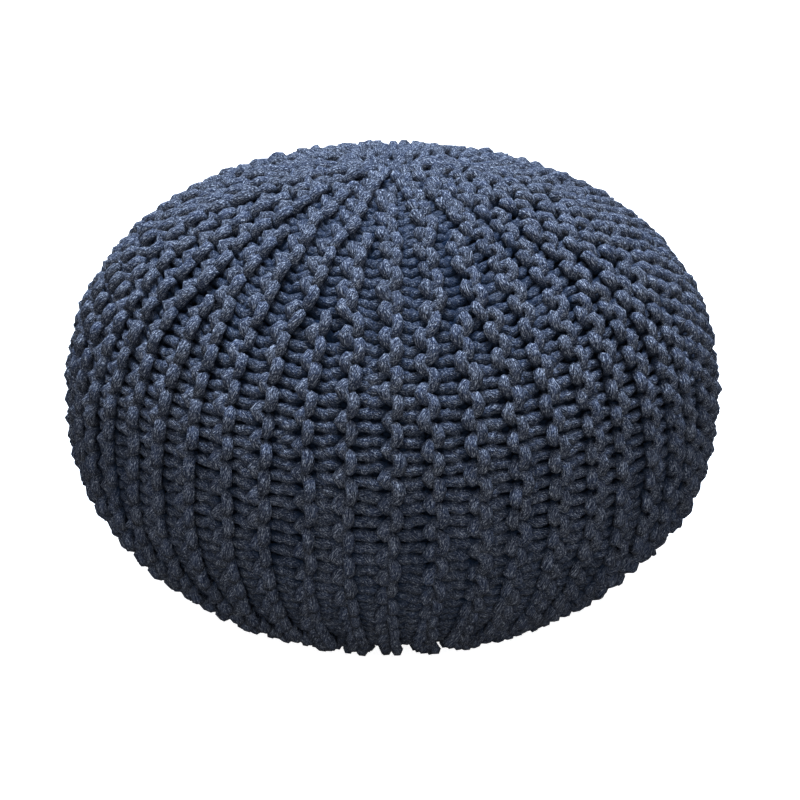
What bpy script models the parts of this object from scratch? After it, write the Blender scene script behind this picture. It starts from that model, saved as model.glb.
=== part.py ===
"""A round hand-knitted pouf: one filled cushion, 500 mm across and 347 mm tall.

The cover is knitted sideways in garter stitch, so its ridges run like meridians, from the
gathered top to the gathered underside. Short rows shape it: of the four ridges in a wedge,
three stop short of both ends. The ridges are raised in the points of one closed form, and the
pouf's weight presses them flat where it stands.

Metres, +Z up, front towards -Y, origin at the middle of the base.
"""

import math

import bmesh
import bpy

# Outline
WIDTH = 0.500  # across the widest line
HEIGHT = 0.347
TOP_RISE = 0.183  # from the widest line up to the top
UNDER_DROP = 0.179  # from the widest line down to the underside, before it sits flat
TOP_POWER = 2.32  # how square the outline is above the widest line; 2 is an ellipse
UNDER_POWER = 2.03
RIDGE_DEPTH = 0.009  # one yarn, from a ridge's crest to the valley beside it
RIDGE_FADE_RADIUS = 0.060  # within this radius the gather squeezes the ridges flatter
PRESSED_HEIGHT = 0.014  # below this height the floor presses the ridges flat
GATHER_RADIUS = 0.014
GATHER_DEPTH = 0.008  # the dip where the top is drawn together

# Knitting
WEDGES = 14
STITCHES = 38  # along a whole ridge, from the top to the underside
TAPER = 1.6  # stitches over which a short ridge rises
CLOSED_SHARE = 0.12  # what is left of a short ridge's width past its end
FIRST_RIDGE = math.radians(6.0)  # the first whole ridge, from the front towards +X
RIDGES = (  # of one wedge, in order towards +X at the front
    {"name": "whole", "left_out": 0},
    {"name": "shortest", "left_out": 11},
    {"name": "middle", "left_out": 7},
    {"name": "longer", "left_out": 3},
)
CLOSING_SHIFT = 1 / 12  # of a wedge: a ridge that ends draws its neighbours in from both sides
SHIFTING_RIDGES = ("shortest", "middle")

# Mesh
POINTS_PER_RIDGE = 4
RINGS = 26
OUTLINE_STEPS = 720

YARN_COLOUR = (0.066, 0.084, 0.127, 1.0)
YARN_ROUGHNESS = 0.95

SEGMENTS = WEDGES * len(RIDGES) * POINTS_PER_RIDGE
BASE_LEVEL = TOP_RISE - HEIGHT  # the base, measured from the widest line


def clear_scene():
    for item in list(bpy.data.objects):
        bpy.data.objects.remove(item, do_unlink=True)


def smooth_step(value):
    value = min(max(value, 0.0), 1.0)
    return value * value * (3 - 2 * value)


def outline_point(turn):
    """Radius and level of the outline at a turn from the top, 0, to the underside, pi."""
    across, up = math.sin(turn), math.cos(turn)
    rise, power = (TOP_RISE, TOP_POWER) if up >= 0 else (UNDER_DROP, UNDER_POWER)
    reach = (across**power + abs(up) ** power) ** (-1 / power)
    return WIDTH / 2 * reach * across, rise * reach * up


def outline():
    """The turned outline as (distance along it, radius, level) rows, top to middle of the base."""
    points = [outline_point(math.pi * i / OUTLINE_STEPS) for i in range(OUTLINE_STEPS)]
    points = [p for p in points if p[1] > BASE_LEVEL]
    drop = (-BASE_LEVEL / UNDER_DROP) ** UNDER_POWER
    base_radius = WIDTH / 2 * (1 - drop) ** (1 / UNDER_POWER)
    points += [(base_radius, BASE_LEVEL), (0.0, BASE_LEVEL)]
    rows = [(0.0, *points[0])]
    for before, here in zip(points, points[1:]):
        rows.append((rows[-1][0] + math.dist(before, here), *here))
    return rows


def along(rows, distance):
    """Radius, level and outward direction of the outline at a distance from the top."""
    for before, here in zip(rows, rows[1:]):
        if here[0] >= distance:
            break
    step = here[0] - before[0]
    share = (distance - before[0]) / step
    radius = before[1] + (here[1] - before[1]) * share
    level = before[2] + (here[2] - before[2]) * share
    outward = ((before[2] - here[2]) / step, (here[1] - before[1]) / step)
    return radius, level, outward


def ring_distance(rows, ring):
    """A ring round the gather, equal steps down to the base's edge, then the base's middle."""
    if ring == 0:
        return 0.0
    if ring == RINGS:
        return rows[-1][0]
    edge = rows[-2][0]
    return GATHER_RADIUS + (edge - GATHER_RADIUS) * (ring - 1) / (RINGS - 2)


def presence(ridge, stitches_in):
    """0 where a ridge hasn't begun and 1 where it is whole, that many stitches from an end."""
    if ridge["left_out"] == 0:
        return 1.0
    return smooth_step((stitches_in - ridge["left_out"]) / TAPER + 0.5)


def ridge_points(stitches_in):
    """(place in the wedge, height share) of one wedge's points, on a ring that far in."""
    shown = [presence(ridge, stitches_in) for ridge in RIDGES]
    widths = [CLOSED_SHARE + (1 - CLOSED_SHARE) * share for share in shown]
    widths = [width / sum(widths) for width in widths]
    closed = sum(
        1 - share
        for ridge, share in zip(RIDGES, shown)
        if ridge["name"] in SHIFTING_RIDGES
    )
    edge = CLOSING_SHIFT * closed - widths[0] / 2
    points = []
    for share, width in zip(shown, widths):
        for step in range(POINTS_PER_RIDGE):
            across = step / POINTS_PER_RIDGE
            points.append((edge + across * width, share * math.sin(math.pi * across)))
        edge += width
    return points


def ring_points(rows, ring):
    """Every point of one ring, in order towards +X at the front."""
    distance = ring_distance(rows, ring)
    radius, level, outward = along(rows, distance)
    from_top = STITCHES * distance / rows[-1][0]
    wedge_points = ridge_points(min(from_top, STITCHES - from_top))
    depth = RIDGE_DEPTH * smooth_step(radius / RIDGE_FADE_RADIUS)
    depth *= smooth_step((level - BASE_LEVEL) / PRESSED_HEIGHT)
    points = []
    for wedge in range(WEDGES):
        for place, height_share in wedge_points:
            angle = FIRST_RIDGE + 2 * math.pi * (wedge + place) / WEDGES
            inward = depth * (1 - height_share)
            out = radius - inward * outward[0]
            up = max(level - inward * outward[1] - BASE_LEVEL, 0.0)
            points.append((out * math.sin(angle), -out * math.cos(angle), up))
    return points


def yarn_material():
    material = bpy.data.materials.new("slate_cotton_yarn")
    material.use_nodes = True
    shader = material.node_tree.nodes["Principled BSDF"]
    shader.inputs["Base Color"].default_value = YARN_COLOUR
    shader.inputs["Roughness"].default_value = YARN_ROUGHNESS
    shader.inputs["Metallic"].default_value = 0.0
    material.diffuse_color = YARN_COLOUR
    return material


def build_pouf(collection):
    """A UV sphere whose points are moved, ring by ring, onto the ridged outline."""
    rows = outline()
    rings = [ring_points(rows, ring) for ring in range(RINGS + 1)]
    shape = bmesh.new()
    bmesh.ops.create_uvsphere(shape, u_segments=SEGMENTS, v_segments=RINGS, radius=1.0)
    for vert in shape.verts:
        ring = round(math.acos(min(max(vert.co.z, -1.0), 1.0)) / math.pi * RINGS)
        turn = math.atan2(vert.co.x, -vert.co.y) / (2 * math.pi)
        vert.co = rings[ring][round(turn * SEGMENTS) % SEGMENTS]
        if ring == 0:
            vert.co.z -= GATHER_DEPTH
    mesh = bpy.data.meshes.new("knitted_pouf")
    shape.to_mesh(mesh)
    shape.free()
    mesh.shade_smooth()
    pouf = bpy.data.objects.new("knitted_pouf", mesh)
    pouf.data.materials.append(yarn_material())
    collection.objects.link(pouf)
    return pouf


def main():
    clear_scene()
    collection = bpy.data.collections.new("Knitted pouf")
    bpy.context.scene.collection.children.link(collection)
    build_pouf(collection)


main()
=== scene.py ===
"""Looks of a round hand-knitted pouf: every stitch of its garter-stitch cover, and what it is
stretched over.

The cover is knitted sideways, so a row of stitches runs like a meridian, from the gather on top
to the gather underneath. Two rows make one ridge. In the front of a ridge, the heads of the
outgoing row's stitches bulge towards +X and the feet of the returning row's stitches bulge
towards -X, by turns, and each hooks under the other. Their legs cross the valleys as level bars.

One stitch of cord is worked out flat, then repeated along each row and laid round the pouf.
Metres, +Z up, front towards -Y, origin at the middle of the base.
"""

import math

import bpy
import numpy as np
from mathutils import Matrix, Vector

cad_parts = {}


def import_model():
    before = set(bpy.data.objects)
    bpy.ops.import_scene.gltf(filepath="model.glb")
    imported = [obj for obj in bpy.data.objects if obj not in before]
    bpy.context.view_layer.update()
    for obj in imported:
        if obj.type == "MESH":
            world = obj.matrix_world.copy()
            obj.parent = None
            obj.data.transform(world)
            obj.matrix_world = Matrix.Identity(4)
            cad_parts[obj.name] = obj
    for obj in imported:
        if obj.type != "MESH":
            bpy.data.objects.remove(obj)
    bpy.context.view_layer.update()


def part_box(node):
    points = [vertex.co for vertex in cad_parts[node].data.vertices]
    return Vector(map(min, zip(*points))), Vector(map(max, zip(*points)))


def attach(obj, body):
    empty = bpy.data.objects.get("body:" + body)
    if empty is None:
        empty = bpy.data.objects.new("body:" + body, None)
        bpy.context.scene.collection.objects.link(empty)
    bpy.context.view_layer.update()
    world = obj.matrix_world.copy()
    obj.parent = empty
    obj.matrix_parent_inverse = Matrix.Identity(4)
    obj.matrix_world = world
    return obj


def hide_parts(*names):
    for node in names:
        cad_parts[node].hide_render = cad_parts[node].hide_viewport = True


POUF = "knitted_pouf"
MM = 1000  # in a metre

# Outline, as in the solid: shares of the pouf's height, and how square each half is
TOP_SHARE = 0.183 / 0.347  # from the widest line up to the top
UNDER_SHARE = 0.179 / 0.347  # from the widest line down to the underside, before it sits flat
TOP_POWER = 2.32  # 2 is an ellipse
UNDER_POWER = 2.03
OUTLINE_STEPS = 1440
BASE_STEPS = 60

# Layout of the knitting
WEDGES = 14
ROWS_PER_RIDGE = 2
STITCHES = 38  # along a whole ridge, from gather to gather
TAPER = 1.6  # stitches over which a short ridge opens
OPEN_SHARE = 0.3  # of that, before the ridge's first stitch
FIRST_RIDGE = math.radians(6.0)  # the first whole ridge, from the front towards +X
RIDGES = (  # of one wedge, in order towards +X at the front
    {"name": "whole", "left_out": 0},
    {"name": "shortest", "left_out": 11},
    {"name": "middle", "left_out": 7},
    {"name": "longer", "left_out": 3},
)
CLOSING_SHIFT = 1 / 12  # of a wedge: a ridge that ends draws its neighbours in from both sides
SHIFTING_RIDGES = ("shortest", "middle")

# One stitch, flat, in millimetres: across the row from its ridge's line, along it, below the
# pouf's outer surface, and the cord's radius. The outgoing row's stitch runs from the middle of
# its head, at the front, down one leg to the middle of its foot, at the back.
OUTGOING_HALF = (
    (4.7, 0.0, 3.2, 3.9),
    (4.3, 3.2, 3.3, 3.8),
    (2.4, 5.9, 4.9, 3.6),
    (-1.4, 6.5, 8.4, 3.4),
    (-5.6, 5.1, 10.9, 3.3),
    (-10.0, 4.4, 10.3, 3.8),
    (-13.8, 3.9, 10.1, 4.0),
    (-17.0, 5.2, 13.2, 3.8),
    (-18.2, 9.1, 15.8, 3.6),
)
# The returning row's stitch runs from the middle of its head, at the back, down one leg to the
# middle of its foot, at the front. Its leg lies just outside the next row's in the valley.
RETURNING_HALF = (
    (18.2, 0.0, 15.2, 3.6),
    (17.0, 2.8, 13.0, 3.8),
    (13.8, 4.8, 10.8, 4.0),
    (10.0, 5.0, 10.3, 3.8),
    (6.0, 4.2, 10.9, 3.3),
    (2.4, 3.3, 9.4, 3.5),
    (-0.9, 4.6, 6.9, 3.6),
    (-3.9, 6.8, 4.2, 3.8),
    (-4.8, 9.1, 3.6, 4.0),
)
STITCH_MM = 18.2  # along the row, on the flat
RIDGE_MM = 28.0  # across both rows of a ridge, on the flat
RIDGE_HALF = RIDGE_MM / 2 / MM  # in metres, the measure for all that is a share of it below
RINGS_PER_STITCH = 12

# Cord
CORD_SIDES = 6
ROUNDING = 1.07  # a cord of flat faces is this much wider, to look as wide as a round one
CORD_TWIST = 110.0  # radians a metre
PAINTED_SHADE_DEPTH = 0.0115  # painted shade: below the crests the cord is painted darker, fully at this depth
ROW_OFFSET = 3.0  # between the yarn's pattern on one row and on the next, along the cord
MOST_BACKWARDS = -0.95  # how far the cord may point back up its row before its rings lag behind

# The ends of a row, in stitches from them
END_DIVE = 0.016  # how far the cord turns inwards, in metres
END_DIVE_STITCHES = 0.3
END_TAPER_STITCHES = 0.12
END_WIDTH = 0.3  # of the cord's radius

# Narrow ridges: room is a ridge's width round the pouf, as a share of its width on the flat
LEAST_ROOM = 1e-4
CREST_POWER = 0.25  # of the room: how slowly the bumps narrow with it
CREST_MOST = 1.9  # times the room, the widest that they stay
OVERLAP_LEAST = 0.3  # how wide what reaches past the ridge's edge stays, as a share
THIN_ROOM = 0.5  # the cord is thinner where there is less room
THIN_LEAST = 0.3  # of that room, below which it gets no thinner
LEG_BOW = 0.002  # how much deeper the legs lie where a ridge has no width
BEAD_DIP = 0.006  # how much deeper the cord lies between the bumps, where a ridge has no width

# Where the cover is loose, near the top gather, and where it is pulled tight
LOOSE_STITCHES = 16.5  # from the top gather
LOOSE_FADE = 7.0  # stitches over which it gets tight
LOOSE_SPREAD = 0.18  # how much wider the bumps stand where it is loose
TIGHT_NARROWING = 0.14  # and how much narrower where it is tight
LOOSE_DIP = 0.0046  # how much deeper the cord lies between the bumps where it is loose
TIGHT_DIP = 0.0042  # the same where it is tight
LOOSE_SHADE_LIFT = 0.0016  # how much less painted shade the loose legs get, as if they lay this much nearer the crests
TIGHT_SHADE_LIFT = 0.0026  # the same of the tight legs
LOOSE_BOW = 0.0012  # how much deeper the legs lie where it is loose
LOOSE_BOW_STITCHES = 8.0  # from the top gather, over which they get there
SAG = 0.0042  # of the loose legs, down the pouf

# Parts of a ridge, as shares of half its width
BUMP_REACH = 0.5  # from its line to where the bumps no longer spread
SAG_START = 0.25  # from its line to where the legs start to sag
BOW_START = 0.2  # from its line to where they start to bow
BOW_FADE = 0.6  # from there to where they bow fully
CROSSING_REACH = 0.25  # from its line to where the cord no longer dips between the bumps

# The cover as a whole
GATHER_RADIUS = 0.022
GATHER_DIP = 0.007  # how far the middle of a gather is drawn in
UNDER_SWELL = 0.0012  # how much further out the lower half of the cover stands
SWELL_STITCHES = 4  # over which it gets there

# Unevenness of hand knitting
SEED = 20
CORD_SPREAD = 0.05  # of the radius, from stitch to stitch
PLACE_SPREAD = 0.0007  # of a stitch's place across, along and below
TILT_SPREAD = 0.09  # of its slant along the row
LUMPS = 0.00024  # of the cord's surface
SWAY = 0.0011  # of a whole ridge across its line
SWAY_STITCHES = 1.7  # in a radian of a wave of order 1
SWAY_WAVES = (1, 2)  # orders
SWAY_DRAWS = 3  # phases drawn for each ridge, of which the waves use one each

# Filled body, behind the stitches
BODY_DEPTH = 0.0188  # below the outline
BODY_RINGS = 48
BODY_SEGMENTS = 96

# Cord's finish. Patterns are in repeats a metre, across the cord twice and along it.
CORD_FINISH = {
    "Roughness": 0.95,
    "Specular IOR Level": 0.06,
    "Sheen Weight": 0.02,
    "Sheen Roughness": 0.45,
}
FIBRES = {"scale": (1250, 1250, 240), "detail": 2.0, "roughness": 0.5}
GRAIN = {"scale": (1500, 1500, 950), "detail": 1.0, "roughness": 0.6}
CAST = {"scale": (60, 60, 45), "detail": 1.0, "roughness": 0.5}
NONE_TO_ALL = ((0, 0, 0), (1, 1, 1))
FIBRE_SPAN = (0.35, 0.65)  # of the fibres' pattern, between their dark and pale colours
BLUE_FIBRES = ((0.014, 0.020, 0.039), (0.082, 0.101, 0.154))
GREY_FIBRES = ((0.016, 0.020, 0.033), (0.088, 0.099, 0.128))
CAST_SPAN = (0.35, 0.65)  # of the cast's pattern, from blue to grey
SPECK_SPAN = (0.53, 0.66)  # of the grain's pattern, from no speck to a full one
SPECK_FIBRE_SPAN = (0.3, 0.7)
SPECK_FIBRES = ((0.14, 0.16, 0.20), (0.58, 0.62, 0.69))
SPECK_SHADE_HEIGHTS = (0.05, 0.28)  # painted shade of the lower part: above the floor, in metres, from few specks to all
SPECK_SHADE_LEVELS = ((0.45, 0.45, 0.45), (1, 1, 1))
PAINTED_SHADE_SPAN = (0.17, 0.68)  # of how free of painted shade the cord is, from full painted shade where it lies deep to none on the crests
# Painted shade: the cord's colour where it lies deep
PAINTED_SHADE_FIBRES = ((0.003, 0.010, 0.026), (0.013, 0.026, 0.054))
BUMP_STRENGTH = 0.9
BUMP_HEIGHT = 0.0015

# Finish of the filled body, and of the floor
INSIDE_FINISH = {"Roughness": 0.95, "Specular IOR Level": 0.1}
INSIDE_GRAIN = {"scale": (400, 400, 400), "detail": 2.0, "roughness": 0.5}
INSIDE_SPAN = (0, 1)
# Painted shade: the inside is near-black blue, as the gaps between the stitches lie in shade
INSIDE_SHADE_COLOURS = ((0.003, 0.007, 0.016), (0.008, 0.016, 0.034))
FLOOR_FINISH = {
    "Base Color": (0.9, 0.9, 0.9, 1),
    "Roughness": 0.9,
    "Emission Color": (1, 1, 1, 1),
    "Emission Strength": 0.85,
}
FLOOR_SIZE = 24.0
FLOOR_LEVEL = -0.0005

# Camera, from the photograph: its distance and height come from the widest line's middle
CAMERA_ELEVATION = math.radians(22.8)
CAMERA_DISTANCE = 1.025
CAMERA_LENS = 58.6
CAMERA_SENSOR = 36.0
CAMERA_SHIFT = (0.0094, -0.016)
CAMERA_CLIP = (0.05, 50)

# Light
DOME_BELOW = (0.050, 0.043, 0.035, 1)
DOME_LEVEL = (0.19, 0.195, 0.205, 1)
DOME_ABOVE = (0.40, 0.49, 0.70, 1)
DOME_STRENGTH = 1.15  # in front, behind and above
DOME_SIDE_STRENGTH = 0.52
LAMPS = (
    {
        "name": "top_softbox",
        "place": (0, 0.15, 2.0),
        "aim": (0, 0, 0.2),
        "size": 0.6,
        "power": 53,
        "colour": (0.80, 0.96, 1.22),
    },
    {
        "name": "front_fill",
        "place": (0, -2.3, 1.2),
        "aim": (0, 0, 0.15),
        "size": 0.8,
        "power": 21,
        "colour": (1.00, 1.0, 0.98),
    },
    {
        "name": "rear_fill",
        "place": (0, 2.3, 1.0),
        "aim": (0, 0, 0.15),
        "size": 1.6,
        "power": 15,
        "colour": (1.00, 1.0, 0.98),
    },
)


def smooth_step(value):
    value = np.clip(value, 0.0, 1.0)
    return value * value * (3 - 2 * value)


def cover_outline(half_width, height):
    """The turned outline: distance along it, radius, level, and its outward direction."""
    rise, drop = TOP_SHARE * height, UNDER_SHARE * height
    base_level = rise - height
    turn = np.linspace(0, math.pi, OUTLINE_STEPS, endpoint=False)
    across, up = np.sin(turn), np.cos(turn)
    power = np.where(up >= 0, TOP_POWER, UNDER_POWER)
    reach = (across**power + np.abs(up) ** power) ** (-1 / power)
    radius = half_width * reach * across
    level = np.where(up >= 0, rise, drop) * reach * up
    kept = level > base_level
    sunk = (-base_level / drop) ** UNDER_POWER
    base_radius = half_width * (1 - sunk) ** (1 / UNDER_POWER)
    radius = np.concatenate([radius[kept], np.linspace(base_radius, 0, BASE_STEPS)])
    level = np.concatenate([level[kept], np.full(BASE_STEPS, base_level)])
    step = np.hypot(np.diff(radius), np.diff(level))
    distance = np.concatenate([[0], np.cumsum(step)])
    return {
        "distance": distance,
        "radius": radius,
        "level": level - base_level,
        "out_radius": -np.gradient(level, distance),
        "out_level": np.gradient(radius, distance),
    }


def outline_at(outline, distance):
    """The outline's radius, level and outward direction, that far along it from the top."""
    return (
        np.interp(distance, outline["distance"], outline[name])
        for name in ("radius", "level", "out_radius", "out_level")
    )


def ridge_lines(stitches_in):
    """For each ridge of a wedge, the place of its line and its half width, in wedges."""
    shown = []
    for ridge in RIDGES:
        left_out = ridge["left_out"]
        opened = smooth_step((stitches_in - left_out) / TAPER + OPEN_SHARE)
        shown.append(opened if left_out else np.ones_like(stitches_in))
    total = sum(shown)
    closed = sum(
        1 - opened for ridge, opened in zip(RIDGES, shown) if ridge["name"] in SHIFTING_RIDGES
    )
    edge = CLOSING_SHIFT * closed - shown[0] / total / 2
    lines = []
    for opened in shown:
        width = opened / total
        lines.append((edge + width / 2, width / 2))
        edge = edge + width
    return lines


def loosen(across, along, loose):
    """Flat points with the bumps spread or narrowed, and the legs sagging, by how loose the
    cover is there."""
    off_line = np.abs(across) / RIDGE_HALF
    spread = LOOSE_SPREAD * loose * (1 - smooth_step(off_line / BUMP_REACH))
    narrowing = TIGHT_NARROWING * (1 - loose) * (1 - smooth_step(off_line))
    across = across * (1 + spread - narrowing)
    hang = np.clip((np.abs(across) / RIDGE_HALF - SAG_START) / (1 - SAG_START), 0, 1)
    return across, along + SAG * loose * hang * (2 - hang)


def squeeze(share, room):
    """Places across a ridge, in shares of half its width on the pouf. With little room, the
    bumps in its middle keep more of their width than the legs at its edges."""
    crest_room = np.where(room < 1, np.minimum(room**CREST_POWER, CREST_MOST * room), room)
    inner = share * (crest_room + (room - crest_room) * np.abs(share)) / room
    slope = np.maximum((2 * room - crest_room) / room, OVERLAP_LEAST)
    outer = np.sign(share) * (1 + slope * (np.abs(share) - 1))
    return np.where(np.abs(share) <= 1, inner, outer)


def lay_round(outline, wedge, ridge, across, along, depth):
    """Flat points of one ridge laid on the pouf, the directions along the row and out, how much
    room the ridge has, and how deep the points count for the cord's painted shade."""
    whole = outline["distance"][-1]
    loose = smooth_step((LOOSE_STITCHES - along * STITCHES / whole) / LOOSE_FADE)
    across, along = loosen(across, along, loose)
    distance = np.clip(along, 0.0, whole)
    stitches = STITCHES * distance / whole
    line, half = ridge_lines(np.minimum(stitches, STITCHES - stitches))[ridge]
    radius, level, out_radius, out_level = outline_at(outline, distance)

    wedge_angle = 2 * math.pi / WEDGES
    room = np.maximum(half * wedge_angle * radius, LEAST_ROOM) / RIDGE_HALF
    share = across / RIDGE_HALF
    angle = FIRST_RIDGE + wedge_angle * (wedge + line + half * squeeze(share, room))

    crowded = 1 - np.minimum(room, 1)
    leg = smooth_step((np.abs(share) - BOW_START) / BOW_FADE)
    crossing = 1 - smooth_step(np.abs(share) / CROSSING_REACH)
    hollow = loose * smooth_step(stitches / LOOSE_BOW_STITCHES)
    depth = depth + (LEG_BOW * crowded + LOOSE_BOW * hollow) * leg
    depth = depth + (BEAD_DIP * crowded + LOOSE_DIP * loose + TIGHT_DIP * (1 - loose)) * crossing
    drawn_in = GATHER_DIP * (1 - smooth_step(radius / GATHER_RADIUS))
    swollen = UNDER_SWELL * smooth_step((stitches - STITCHES / 2) / SWELL_STITCHES)
    height = swollen - drawn_in - depth

    east, north = np.sin(angle), -np.cos(angle)
    out = np.stack([out_radius * east, out_radius * north, out_level], axis=-1)
    run = np.stack([out_level * east, out_level * north, -out_radius], axis=-1)
    surface = np.stack([radius * east, radius * north, level], axis=-1)
    # How deep a point counts for the painted shade: the legs count as nearer the crests
    sunk = depth - (LOOSE_SHADE_LIFT * loose + TIGHT_SHADE_LIFT * (1 - loose)) * leg
    return surface + height[:, None] * out, run, out, room, sunk


def smooth_line(points, count):
    """A repeat of points as count evenly stepped points on a Catmull-Rom line through them."""
    steps = len(points) - 1
    shift = points[-1] - points[0]
    held = np.concatenate([points[-2:-1] - shift, points, points[1:3] + shift])
    at = np.arange(count) * steps / count
    index = at.astype(int)
    t = (at - index)[:, None]
    a, b, c, d = (held[index + k] for k in range(4))
    return 0.5 * (
        2 * b + (c - a) * t + (2 * a - 5 * b + 4 * c - d) * t**2 + (3 * b - a - 3 * c + d) * t**3
    )


def flat_stitch(returning):
    """One whole stitch, leg to leg, in metres: rows of across, along, below and radius."""
    leg = np.array(RETURNING_HALF if returning else OUTGOING_HALF)
    if returning:
        other = leg[::-1][1:] * (1, -1, 1, 1) + (0, STITCH_MM, 0, 0)
        points = np.concatenate([leg, other])
    else:
        other = leg[::-1] * (1, -1, 1, 1) + (0, STITCH_MM / 2, 0, 0)
        points = np.concatenate([other, leg[1:] + (0, STITCH_MM / 2, 0, 0)])
    return smooth_line(points / MM, RINGS_PER_STITCH)


def row_line(outline, wedge, ridge, returning, phases, rng):
    """The middle of one row's cord on the pouf, its local directions, its radius, and how deep
    it counts for the painted shade."""
    start = RIDGES[ridge]["left_out"]
    count = STITCHES - 2 * start
    if returning:
        count -= 1
        start += 0.5
    flat = flat_stitch(returning)
    stitch = np.repeat(np.arange(count), RINGS_PER_STITCH)
    across, place, depth, radius = (np.tile(flat[:, k], count) for k in range(4))
    in_row = np.arange(len(stitch)) / RINGS_PER_STITCH
    from_end = np.minimum(in_row, in_row[::-1])

    def uneven(spread):
        return np.interp(in_row, np.arange(count) + 0.5, rng.normal(0.0, spread, count))

    along = (start + stitch + place / (STITCH_MM / MM)) * outline["distance"][-1] / STITCHES
    along = along + across * uneven(TILT_SPREAD)
    across = across + uneven(PLACE_SPREAD)
    along = along + uneven(PLACE_SPREAD)
    depth = depth + uneven(PLACE_SPREAD)
    waves = (np.sin((start + in_row) / SWAY_STITCHES / k + phases[k]) for k in SWAY_WAVES)
    across = across + SWAY * sum(waves)
    depth = depth + END_DIVE * (1 - smooth_step(from_end / END_DIVE_STITCHES))
    line, run, out, room, sunk = lay_round(outline, wedge, ridge, across, along, depth)
    thinned = np.clip(room / THIN_ROOM, THIN_LEAST, 1) ** 0.5
    radius = ROUNDING * radius * (1 + uneven(CORD_SPREAD)) * thinned
    tapered = smooth_step(from_end / END_TAPER_STITCHES)
    radius = radius * (END_WIDTH + (1 - END_WIDTH) * tapered)
    return line, run, out, radius, sunk


def cord_mesh(line, run, out, radius, sunk, rng, first_vertex, row_offset):
    """A tube round the line, closed at both ends: its points, where they lie on the cord, how free
    of painted shade they are, and its faces."""
    step = np.gradient(line, axis=0)
    tangent = step / np.linalg.norm(step, axis=1)[:, None]
    side = np.cross(run, out)
    facing = (tangent * run).sum(1)
    turn = (run + tangent) / (1 + np.maximum(facing, MOST_BACKWARDS))[:, None]
    first = side - (tangent * side).sum(1)[:, None] * turn
    second = out - (tangent * out).sum(1)[:, None] * turn
    length = np.concatenate([[0], np.cumsum(np.linalg.norm(np.diff(line, axis=0), axis=1))])

    angle = np.arange(CORD_SIDES) * 2 * math.pi / CORD_SIDES
    ring = np.cos(angle)[None, :, None] * first[:, None, :]
    ring = ring + np.sin(angle)[None, :, None] * second[:, None, :]
    uneven = radius[:, None] + rng.normal(0.0, LUMPS, (len(line), CORD_SIDES))
    points = line[:, None, :] + uneven[:, :, None] * ring

    # Painted shade: the deeper below the crests a point lies, the darker it is painted
    deep = sunk[:, None] - radius[:, None] * (ring * out[:, None, :]).sum(2)
    unshaded = np.clip(1 - deep / PAINTED_SHADE_DEPTH, 0, 1)
    twisted = angle[None, :] + CORD_TWIST * length[:, None]
    lengths = np.broadcast_to(length[:, None] + row_offset, twisted.shape)
    wide = np.broadcast_to(radius[:, None], twisted.shape)
    on_cord = np.stack([wide * np.cos(twisted), wide * np.sin(twisted), lengths], axis=-1)

    index = first_vertex + np.arange(len(line) * CORD_SIDES).reshape(-1, CORD_SIDES)
    beside = np.roll(index, -1, axis=1)
    faces = np.stack([index[:-1], beside[:-1], beside[1:], index[1:]], axis=-1).reshape(-1, 4)
    ends = [index[0][::-1].tolist(), index[-1].tolist()]
    return points.reshape(-1, 3), on_cord.reshape(-1, 3), unshaded.ravel(), faces.tolist() + ends


def knit_wedge(outline, wedge, material):
    """All rows of one wedge, joined in one mesh and pressed flat on the floor."""
    rng = np.random.default_rng(SEED + wedge)
    points, on_cord, unshaded, faces = [], [], [], []
    for ridge in range(len(RIDGES)):
        phases = rng.uniform(0, 2 * math.pi, SWAY_DRAWS)
        for returning in (False, True):
            row = row_line(outline, wedge, ridge, returning, phases, rng)
            rows_before = (wedge * len(RIDGES) + ridge) * ROWS_PER_RIDGE + returning
            made = cord_mesh(*row, rng, sum(map(len, points)), ROW_OFFSET * rows_before)
            points.append(made[0])
            on_cord.append(made[1])
            unshaded.append(made[2])
            faces += made[3]
    points = np.concatenate(points)
    points[:, 2] = np.maximum(points[:, 2], 0.0)
    name = f"knitted_wedge_{wedge + 1:02d}"
    mesh = bpy.data.meshes.new(name)
    mesh.from_pydata(points.tolist(), [], faces)
    attribute = mesh.attributes.new("on_cord", "FLOAT_VECTOR", "POINT")
    attribute.data.foreach_set("vector", np.concatenate(on_cord).astype(np.float32).ravel())
    # Painted shade mask: 1 on the crests, 0 where the cord lies deep
    attribute = mesh.attributes.new("unshaded", "FLOAT", "POINT")
    attribute.data.foreach_set("value", np.concatenate(unshaded).astype(np.float32))
    mesh.shade_smooth()
    mesh.materials.append(material)
    piece = bpy.data.objects.new(name, mesh)
    bpy.context.scene.collection.objects.link(piece)
    return piece


def filled_body(outline, material):
    """The filled form that the cover is stretched over, seen only between the stitches: a
    sphere whose points are moved, ring by ring, to a little inside the outline."""
    bpy.ops.object.select_all(action="DESELECT")
    bpy.ops.mesh.primitive_uv_sphere_add(segments=BODY_SEGMENTS, ring_count=BODY_RINGS, radius=1.0)
    body = bpy.context.object
    body.name = "filled_body"
    body.data.name = "filled_body"
    co = np.zeros(len(body.data.vertices) * 3)
    body.data.vertices.foreach_get("co", co)
    co = co.reshape(-1, 3)
    share = np.arccos(np.clip(co[:, 2], -1, 1)) / math.pi
    angle = np.arctan2(co[:, 0], -co[:, 1])
    radius, level, out_radius, out_level = outline_at(outline, share * outline["distance"][-1])
    out = np.maximum(radius - BODY_DEPTH * out_radius, 0)
    up = level - BODY_DEPTH * out_level
    moved = np.stack([out * np.sin(angle), -out * np.cos(angle), up], axis=1)
    body.data.vertices.foreach_set("co", moved.ravel())
    body.data.update()
    body.data.shade_smooth()
    body.data.materials.append(material)
    return body


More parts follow.
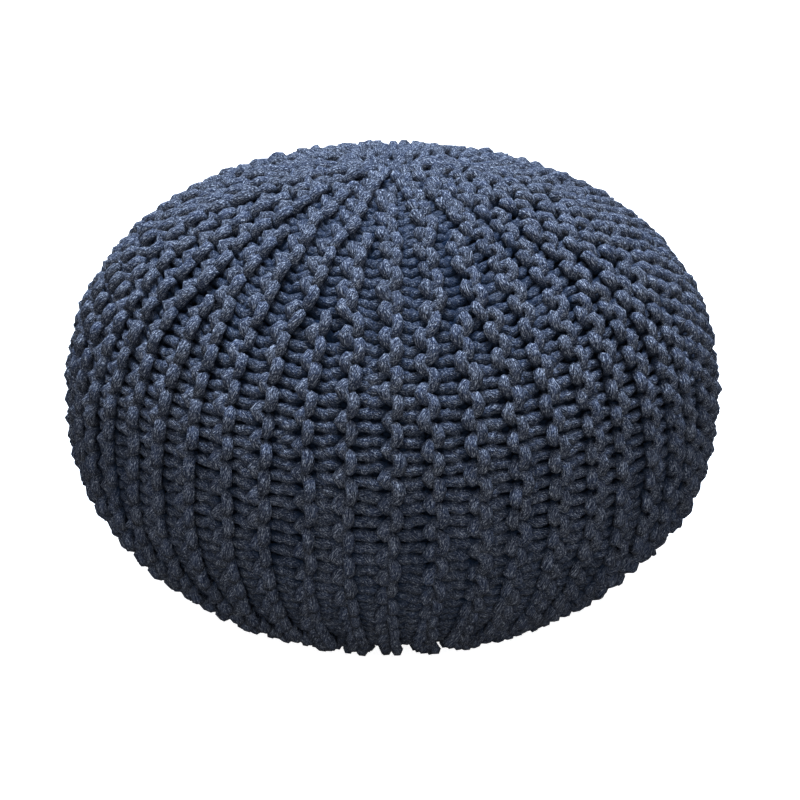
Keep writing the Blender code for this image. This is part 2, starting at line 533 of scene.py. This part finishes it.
def new_material(name, finish):
    """A material whose shader has that finish, its nodes and links, and the shader's sockets."""
    material = bpy.data.materials.new(name)
    material.use_nodes = True
    nodes, links = material.node_tree.nodes, material.node_tree.links
    sockets = nodes["Principled BSDF"].inputs
    for socket, value in finish.items():
        sockets[socket].default_value = value
    return material, nodes, links, sockets


def add_attribute(nodes, name, output):
    attribute = nodes.new("ShaderNodeAttribute")
    attribute.attribute_name = name
    return attribute.outputs[output]


def add_noise(nodes, links, vector, scale, detail, roughness):
    """A noise pattern on that vector, its scale given along each of the vector's axes."""
    stretch = nodes.new("ShaderNodeMapping")
    stretch.inputs["Scale"].default_value = scale
    links.new(vector, stretch.inputs["Vector"])
    noise = nodes.new("ShaderNodeTexNoise")
    noise.inputs["Scale"].default_value = 1.0
    noise.inputs["Detail"].default_value = detail
    noise.inputs["Roughness"].default_value = roughness
    links.new(stretch.outputs["Vector"], noise.inputs["Vector"])
    return noise.outputs["Fac"]


def add_ramp(nodes, links, factor, span, colours):
    """Two colours, blended over that span of the factor."""
    ramp = nodes.new("ShaderNodeValToRGB")
    for element, place, colour in zip(ramp.color_ramp.elements, span, colours):
        element.position = place
        element.color = (*colour, 1.0)
    links.new(factor, ramp.inputs["Fac"])
    return ramp.outputs["Color"]


def add_mix(nodes, links, factor, first, second):
    mix = nodes.new("ShaderNodeMix")
    mix.data_type = "RGBA"
    links.new(factor, mix.inputs["Factor"])
    links.new(first, mix.inputs["A"])
    links.new(second, mix.inputs["B"])
    return mix.outputs["Result"]


def height_above_floor(nodes, links):
    where = nodes.new("ShaderNodeTexCoord")
    parts = nodes.new("ShaderNodeSeparateXYZ")
    links.new(where.outputs["Object"], parts.inputs["Vector"])
    return parts.outputs["Z"]


def add_bump(nodes, links, first, second, normal):
    """The sum of two patterns as a bump in the shader's normal."""
    height = nodes.new("ShaderNodeMath")
    height.operation = "ADD"
    links.new(first, height.inputs[0])
    links.new(second, height.inputs[1])
    bump = nodes.new("ShaderNodeBump")
    bump.inputs["Strength"].default_value = BUMP_STRENGTH
    bump.inputs["Distance"].default_value = BUMP_HEIGHT
    links.new(height.outputs["Value"], bump.inputs["Height"])
    links.new(bump.outputs["Normal"], normal)


def yarn_material():
    """Matt cotton cord: slate fibres along the cord, pale specks and a fluffy grain. Painted
    shade:
    where the cord lies deep it is darker and bluer, without specks, and lower down the specks are
    fewer."""
    material, nodes, links, sockets = new_material("slate_cotton_cord", CORD_FINISH)
    tree = (nodes, links)
    on_cord = add_attribute(nodes, "on_cord", "Vector")
    unshaded = add_attribute(nodes, "unshaded", "Fac")
    fibre = add_noise(*tree, on_cord, **FIBRES)
    grain = add_noise(*tree, on_cord, **GRAIN)
    cast = add_noise(*tree, on_cord, **CAST)

    blue = add_ramp(*tree, fibre, FIBRE_SPAN, BLUE_FIBRES)
    grey = add_ramp(*tree, fibre, FIBRE_SPAN, GREY_FIBRES)
    greyer = add_ramp(*tree, cast, CAST_SPAN, NONE_TO_ALL)
    base = add_mix(*tree, greyer, blue, grey)

    pale = add_ramp(*tree, fibre, SPECK_FIBRE_SPAN, SPECK_FIBRES)
    speck = add_ramp(*tree, grain, SPECK_SPAN, NONE_TO_ALL)
    fluffed = add_mix(*tree, speck, base, pale)
    # Painted shade of the lower part: fewer pale specks towards the floor
    lower_speck_shade = add_ramp(*tree, height_above_floor(*tree), SPECK_SHADE_HEIGHTS, SPECK_SHADE_LEVELS)
    crest = add_mix(*tree, lower_speck_shade, base, fluffed)

    # Painted shade: darker, bluer colour where the cord lies deep, blended in by the mask
    shade_colour = add_ramp(*tree, fibre, FIBRE_SPAN, PAINTED_SHADE_FIBRES)
    shade_blend = add_ramp(*tree, unshaded, PAINTED_SHADE_SPAN, NONE_TO_ALL)
    links.new(add_mix(*tree, shade_blend, shade_colour, crest), sockets["Base Color"])
    add_bump(*tree, fibre, grain, sockets["Normal"])
    return material


def body_material():
    """What shows between the stitches, with a fine grain: its near-black blue is painted shade of
    the gaps.
    """
    material, nodes, links, sockets = new_material("inside_painted_shade", INSIDE_FINISH)
    place = nodes.new("ShaderNodeTexCoord").outputs["Object"]
    grain = add_noise(nodes, links, place, **INSIDE_GRAIN)
    colour = add_ramp(nodes, links, grain, INSIDE_SPAN, INSIDE_SHADE_COLOURS)
    links.new(colour, sockets["Base Color"])
    return material


def floor_piece():
    """A pale floor that glows a little, so that it is as white as the photo's ground."""
    bpy.ops.object.select_all(action="DESELECT")
    bpy.ops.mesh.primitive_plane_add(size=FLOOR_SIZE, location=(0, 0, FLOOR_LEVEL))
    floor = bpy.context.object
    floor.name = "studio_floor"
    bpy.ops.object.transform_apply(location=True)
    floor.data.materials.append(new_material("pale_floor", FLOOR_FINISH)[0])
    floor.visible_diffuse = False
    floor.visible_glossy = False


def set_camera(widest_level):
    camera = bpy.data.cameras.new("photo_camera")
    camera.lens = CAMERA_LENS
    camera.sensor_width = CAMERA_SENSOR
    camera.shift_x, camera.shift_y = CAMERA_SHIFT
    camera.clip_start, camera.clip_end = CAMERA_CLIP
    holder = bpy.data.objects.new("photo_camera", camera)
    holder.location = (
        0,
        -CAMERA_DISTANCE * math.cos(CAMERA_ELEVATION),
        widest_level + CAMERA_DISTANCE * math.sin(CAMERA_ELEVATION),
    )
    holder.rotation_euler = (math.pi / 2 - CAMERA_ELEVATION, 0, 0)
    bpy.context.scene.collection.objects.link(holder)
    bpy.context.scene.camera = holder


def area_light(name, place, aim, size, power, colour):
    light = bpy.data.lights.new(name, "AREA")
    light.size = size
    light.energy = power
    light.color = colour
    holder = bpy.data.objects.new(name, light)
    holder.location = place
    direction = np.array(aim) - np.array(place)
    flat = math.hypot(direction[0], direction[1])
    holder.rotation_euler = (
        math.atan2(flat, -direction[2]),
        0,
        math.atan2(direction[1], direction[0]) - math.pi / 2,
    )
    bpy.context.scene.collection.objects.link(holder)


def dome_colour(nodes, links, up):
    """The dome's colour, from below to above, by how far up a direction points."""
    ramp = nodes.new("ShaderNodeValToRGB")
    elements = ramp.color_ramp.elements
    elements[0].color = DOME_BELOW
    elements[1].color = DOME_ABOVE
    elements.new(0.5).color = DOME_LEVEL
    raised = nodes.new("ShaderNodeMapRange")
    raised.inputs["From Min"].default_value = -1.0
    links.new(up, raised.inputs["Value"])
    links.new(raised.outputs["Result"], ramp.inputs["Fac"])
    return ramp.outputs["Color"]


def dome_strength(nodes, links, sideways):
    """The dome's strength, less towards both sides."""
    off_middle = nodes.new("ShaderNodeMath")
    off_middle.operation = "ABSOLUTE"
    links.new(sideways, off_middle.inputs[0])
    dimmed = nodes.new("ShaderNodeMapRange")
    dimmed.inputs["To Min"].default_value = DOME_STRENGTH
    dimmed.inputs["To Max"].default_value = DOME_SIDE_STRENGTH
    links.new(off_middle.outputs["Value"], dimmed.inputs["Value"])
    return dimmed.outputs["Result"]


def light_dome():
    """A pale dome all round, which the camera itself sees as white."""
    world = bpy.data.worlds.new("studio")
    bpy.context.scene.world = world
    world.use_nodes = True
    nodes, links = world.node_tree.nodes, world.node_tree.links
    background = nodes["Background"]
    direction = nodes.new("ShaderNodeTexCoord")
    parts = nodes.new("ShaderNodeSeparateXYZ")
    links.new(direction.outputs["Generated"], parts.inputs["Vector"])
    links.new(dome_colour(nodes, links, parts.outputs["Z"]), background.inputs["Color"])
    links.new(dome_strength(nodes, links, parts.outputs["X"]), background.inputs["Strength"])
    seen = nodes.new("ShaderNodeBackground")
    seen.inputs["Color"].default_value = (1, 1, 1, 1)
    path = nodes.new("ShaderNodeLightPath")
    mix = nodes.new("ShaderNodeMixShader")
    links.new(path.outputs["Is Camera Ray"], mix.inputs["Fac"])
    links.new(background.outputs["Background"], mix.inputs[1])
    links.new(seen.outputs["Background"], mix.inputs[2])
    links.new(mix.outputs["Shader"], nodes["World Output"].inputs["Surface"])


def light_studio():
    """Soft light: the dome, a softbox overhead, and a fill from the front and from the back."""
    light_dome()
    for lamp in LAMPS:
        area_light(**lamp)
    bpy.context.scene.view_settings.view_transform = "Standard"


def main():
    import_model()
    low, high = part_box(POUF)
    outline = cover_outline((high.x - low.x) / 2, high.z)
    yarn = yarn_material()
    for wedge in range(WEDGES):
        piece = knit_wedge(outline, wedge, yarn)
        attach(piece, "root")
    body = filled_body(outline, body_material())
    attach(body, "root")
    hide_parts(POUF)
    floor_piece()
    set_camera(high.z - TOP_SHARE * high.z)
    light_studio()


main()
